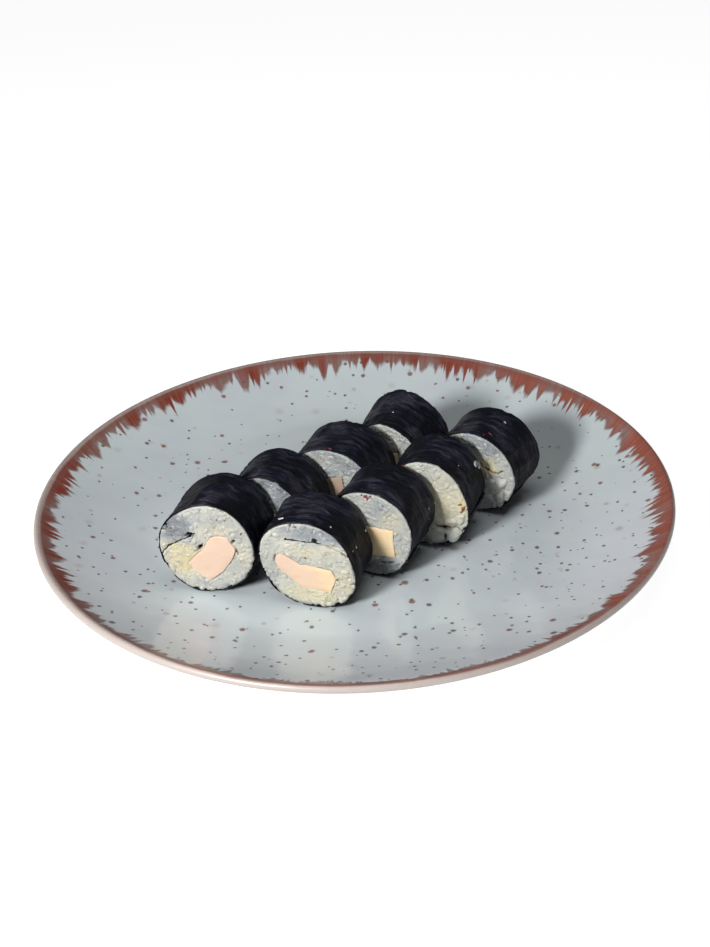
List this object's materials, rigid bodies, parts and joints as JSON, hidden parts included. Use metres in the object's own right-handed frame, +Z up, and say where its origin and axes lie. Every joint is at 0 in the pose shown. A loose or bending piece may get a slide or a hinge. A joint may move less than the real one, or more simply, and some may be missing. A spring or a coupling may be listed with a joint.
{
  "type": "maki sushi rolls on a plate",
  "caption": "Cut maki rolls, nori wrapped round rice with a block of filling, in two slanting rows on a shallow round speckled coupe plate with a rounded lip and a brushed rim.",
  "frame": {"origin": "on the ground under the middle of the plate", "axes": "+Z up, the rolls' cut faces look towards -Y, the rows run back to +X and +Y"},
  "size_m": [0.2698, 0.2698, 0.0495],
  "materials": {
    "plate": "gloss",
    "nori": "satin",
    "rice": "satin",
    "filling": "satin"
  },
  "bodies": {
    "root": {"plate": "plate", "nori_left_1": "nori", "nori_left_2": "nori", "nori_left_3": "nori", "nori_left_4": "nori", "nori_right_1": "nori", "nori_right_2": "nori", "nori_right_3": "nori", "nori_right_4": "nori", "rice_left_1": "rice", "rice_left_2": "rice", "rice_left_3": "rice", "rice_left_4": "rice", "rice_right_1": "rice", "rice_right_2": "rice", "rice_right_3": "rice", "rice_right_4": "rice", "filling_left_1": "filling", "filling_left_2": "filling", "filling_left_3": "filling", "filling_left_4": "filling", "filling_right_1": "filling", "filling_right_2": "filling", "filling_right_3": "filling", "filling_right_4": "filling"}
  },
  "joints": []
}
